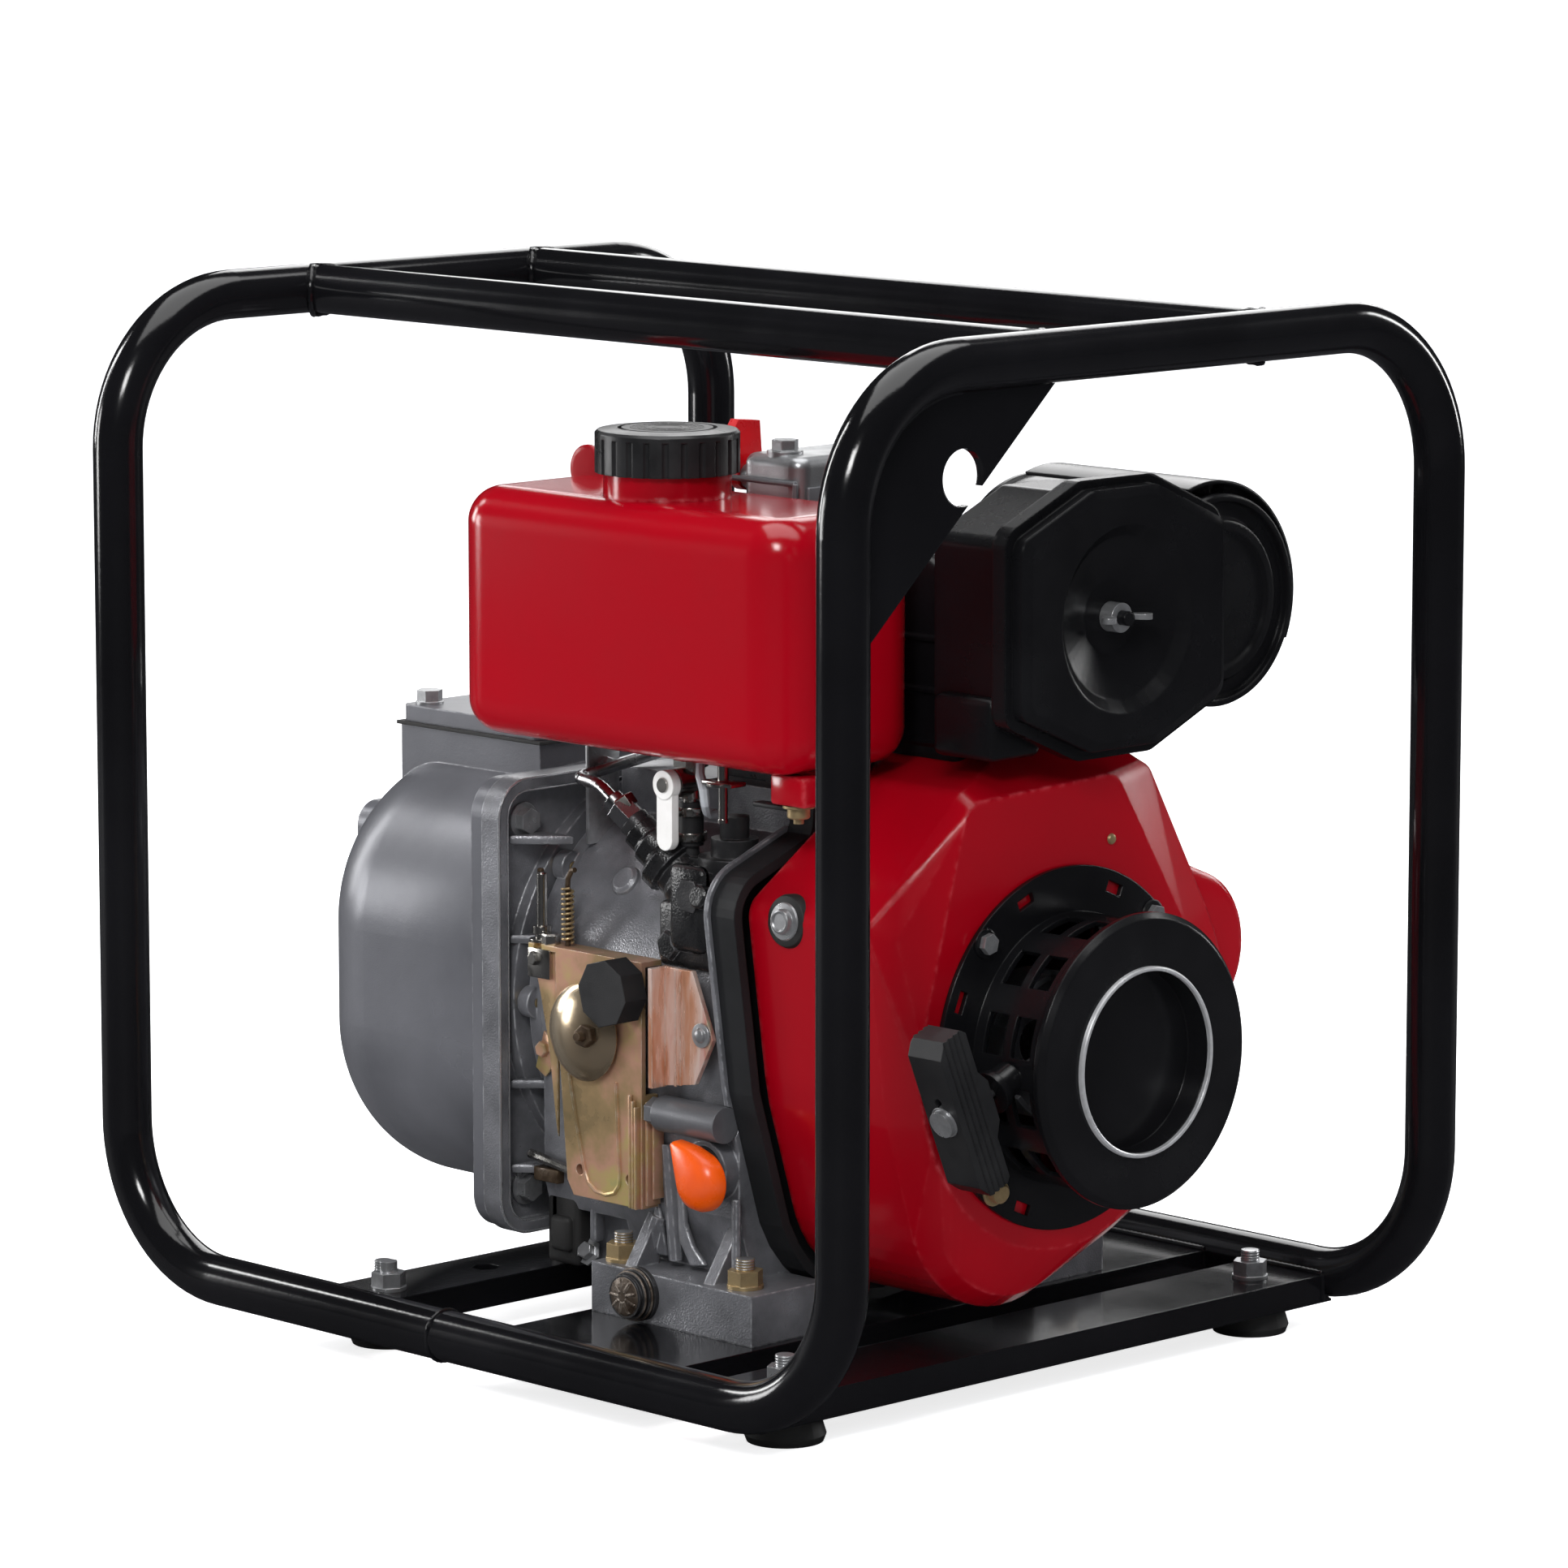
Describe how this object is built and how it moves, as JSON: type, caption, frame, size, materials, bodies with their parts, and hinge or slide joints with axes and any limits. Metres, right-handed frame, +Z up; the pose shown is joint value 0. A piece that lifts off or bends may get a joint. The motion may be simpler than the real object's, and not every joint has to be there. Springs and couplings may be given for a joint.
{
  "type": "portable engine-driven pump set",
  "caption": "Air-cooled recoil-start diesel engine driving a cast self-priming water pump, with tank, air filter and muffler in a black tube carrying frame.",
  "frame": {"origin": "bottom centre of the bounding box, on the floor under the rubber feet", "axes": "+Z up, +X along the crank line towards the recoil starter, -Y towards the fuel tank and the controls"},
  "size_m": [0.604, 0.488, 0.5865],
  "materials": {
    "frame_black": "gloss powder coat",
    "sheet_black": "semi-gloss enamel",
    "starter_black": "gloss enamel on pressed sheet",
    "gloss_red": "deep gloss enamel",
    "lever_red": "gloss enamel",
    "cast_alloy": "as cast, fine grain",
    "dark_alloy": "dark casting",
    "pump_cast": "grey casting, brushed flange rims",
    "fan_cast": "dark machined casting",
    "shaft_steel": "ground steel",
    "bolt_zinc": "bright zinc plate",
    "ring_bright": "brushed ring",
    "zinc_yellow": "yellow zinc passivate with pink and green tints",
    "brass": "machined brass",
    "bronze": "cast bronze",
    "rubber": "matt rubber",
    "black_plastic": "fine matt moulding",
    "cap_black": "satin moulding",
    "white_plastic": "satin moulding",
    "orange_plastic": "gloss moulding",
    "rope": "braided cord",
    "filter_paper": "pleated paper"
  },
  "bodies": {
    "frame": {"starter_end_hoop": "frame_black", "pump_end_hoop": "frame_black", "top_rails": "frame_black", "lifting_gusset": "frame_black", "front_crossmember": "sheet_black", "rear_crossmember": "sheet_black", "engine_plate": "sheet_black", "rubber_feet": "rubber", "foot_bolts": "bolt_zinc", "crankcase": "cast_alloy", "crankcase_cover": "cast_alloy", "main_bearings": "shaft_steel", "engine_bolts": "bolt_zinc", "cylinder_barrel": "dark_alloy", "cylinder_head": "cast_alloy", "rocker_cover": "cast_alloy", "blower_backplate": "sheet_black", "blower_shroud": "gloss_red", "shroud_bolts": "bolt_zinc", "starter_housing": "starter_black", "starter_ring": "ring_bright", "fuel_tank": "gloss_red", "tank_brackets": "bolt_zinc", "fuel_tap": "brass", "fuel_hose": "rubber", "injection_pump": "dark_alloy", "injector_pipe": "shaft_steel", "control_plate": "zinc_yellow", "stop_plate": "zinc_yellow", "oil_screen_housing": "dark_alloy", "drain_plug": "cast_alloy", "filter_housing": "black_plastic", "filter_element": "filter_paper", "muffler": "sheet_black", "heat_shield": "sheet_black", "pump_flange": "pump_cast", "pump_casing": "pump_cast", "pump_volute": "pump_cast", "pump_rubbers": "rubber", "discharge_flange": "pump_cast", "suction_flange": "pump_cast", "pump_bolts": "bolt_zinc"},
    "crank": {"crankshaft": "shaft_steel", "flywheel_blower": "fan_cast", "starter_cup": "shaft_steel", "impeller": "bronze"},
    "pull_grip": {"starter_grip": "black_plastic", "grip_plug": "ring_bright", "starter_rope": "rope"},
    "rope_drum": {"starter_pulley": "black_plastic"},
    "decompressor": {"decompression_lever": "lever_red"},
    "cap_seal": {"cap_gasket": "rubber"},
    "filler_cap": {"fuel_cap": "cap_black"},
    "fuel_cock": {"tap_lever": "white_plastic"},
    "throttle": {"speed_lever": "zinc_yellow", "lever_knob": "black_plastic"},
    "stick_seal": {"dipstick_seal": "rubber"},
    "oil_stick": {"dipstick_cap": "orange_plastic"},
    "air_cover": {"filter_cover": "black_plastic"},
    "cover_nut": {"wing_nut": "bolt_zinc"}
  },
  "joints": [
    {"name": "crank_spin", "type": "hinge", "parent": "frame", "child": "crank", "pos_m": [0, 0, 0.19], "axis": [1, 0, 0], "continuous": true},
    {"name": "grip_pull", "type": "slide", "parent": "frame", "child": "pull_grip", "axis": [0, -1, 0], "range_m": [0, 0.55], "stiffness_N_per_m": 20, "springref_m": -0.6, "deforming": ["starter_rope"]},
    {"name": "drum_turn", "type": "hinge", "parent": "frame", "child": "rope_drum", "pos_m": [0.255, 0, 0.19], "axis": [1, 0, 0], "range_deg": [0, 1270]},
    {"name": "decompressor_tilt", "type": "hinge", "parent": "frame", "child": "decompressor", "pos_m": [0.0073, -0.028, 0.484], "axis": [1, 0, 0], "range_deg": [-80, 0]},
    {"name": "cap_lift", "type": "slide", "parent": "frame", "child": "cap_seal", "axis": [0, 0, 1], "range_m": [0, 0.035]},
    {"name": "cap_turn", "type": "hinge", "parent": "cap_seal", "child": "filler_cap", "pos_m": [0.022, -0.1, 0.5], "axis": [0, 0, 1], "range_deg": [0, 90]},
    {"name": "fuel_tap_turn", "type": "hinge", "parent": "frame", "child": "fuel_cock", "pos_m": [0.04, -0.118, 0.325], "axis": [0, 1, 0], "range_deg": [0, 90]},
    {"name": "speed_lever_turn", "type": "hinge", "parent": "frame", "child": "throttle", "pos_m": [-0.013, -0.131, 0.185], "axis": [0, 1, 0], "range_deg": [-35, 20]},
    {"name": "dipstick_pull", "type": "slide", "parent": "frame", "child": "stick_seal", "axis": [0, -1, 0], "range_m": [0, 0.08]},
    {"name": "dipstick_turn", "type": "hinge", "parent": "stick_seal", "child": "oil_stick", "pos_m": [0.077, -0.13, 0.118], "axis": [0, 1, 0], "continuous": true},
    {"name": "filter_cover_pull", "type": "slide", "parent": "frame", "child": "air_cover", "axis": [1, 0, 0], "range_m": [0, 0.06]},
    {"name": "wing_nut_turn", "type": "hinge", "parent": "air_cover", "child": "cover_nut", "pos_m": [0.242, 0.02, 0.423], "axis": [1, 0, 0], "continuous": true}
  ],
  "couplings": [
    {"joint": "drum_turn", "follows": "grip_pull", "rad_per_m": 40}
  ]
}
